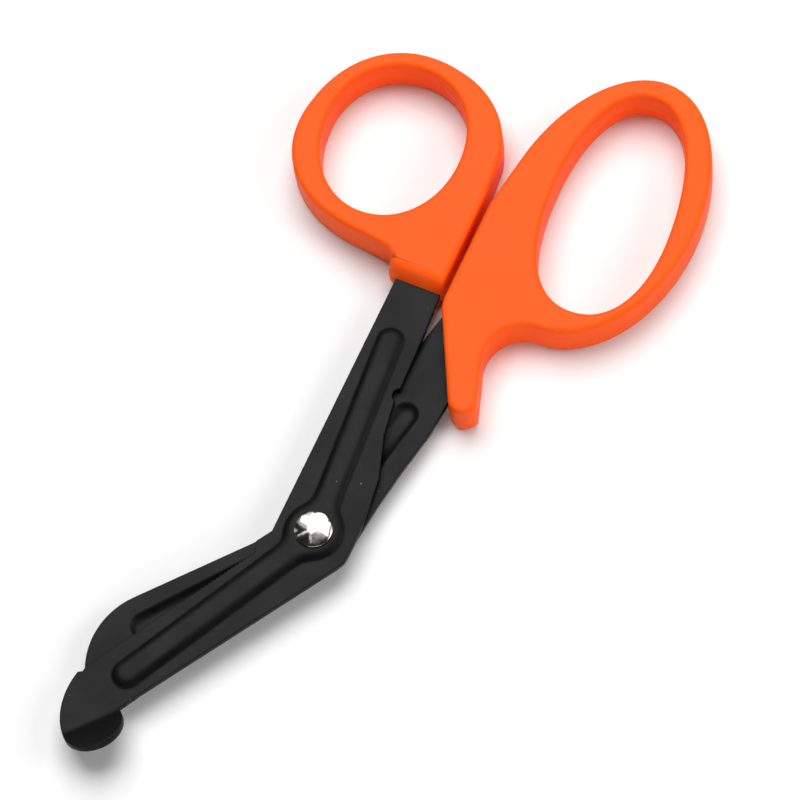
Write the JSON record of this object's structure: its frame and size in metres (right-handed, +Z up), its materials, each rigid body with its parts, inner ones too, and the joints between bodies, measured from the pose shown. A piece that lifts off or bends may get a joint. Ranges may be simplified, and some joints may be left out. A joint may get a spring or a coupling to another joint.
{
  "type": "emergency shears",
  "caption": "Emergency shears with angled black ribbed steel blades, bent flat tip tab, fine-toothed lower jaw, orange ring and loop handles and a plated pivot rivet.",
  "frame": {"origin": "bottom centre of the bounding box, on the plane of the handles' underside, with the shears lying flat and closed", "axes": "+Z up through the handles' thickness, towards the rivet's domed head; +Y along the front tang from the jaws to the handles; +X from the thumb ring to the finger loop"},
  "size_m": [0.0932, 0.1928, 0.0103],
  "materials": {
    "black_steel": "satin black non-stick coating",
    "orange_plastic": "satin moulded plastic",
    "plated_steel": "bright nickel plate"
  },
  "bodies": {
    "finger_side": {"finger_handle": "orange_plastic", "back_blade": "black_steel", "rivet": "plated_steel"},
    "thumb_side": {"thumb_handle": "orange_plastic", "front_blade": "black_steel"}
  },
  "joints": [
    {"name": "pivot", "type": "hinge", "parent": "finger_side", "child": "thumb_side", "pos_m": [-0.00236, -0.03155, 0.005], "axis": [0, 0, 1], "range_deg": [-0.8, 55]}
  ]
}
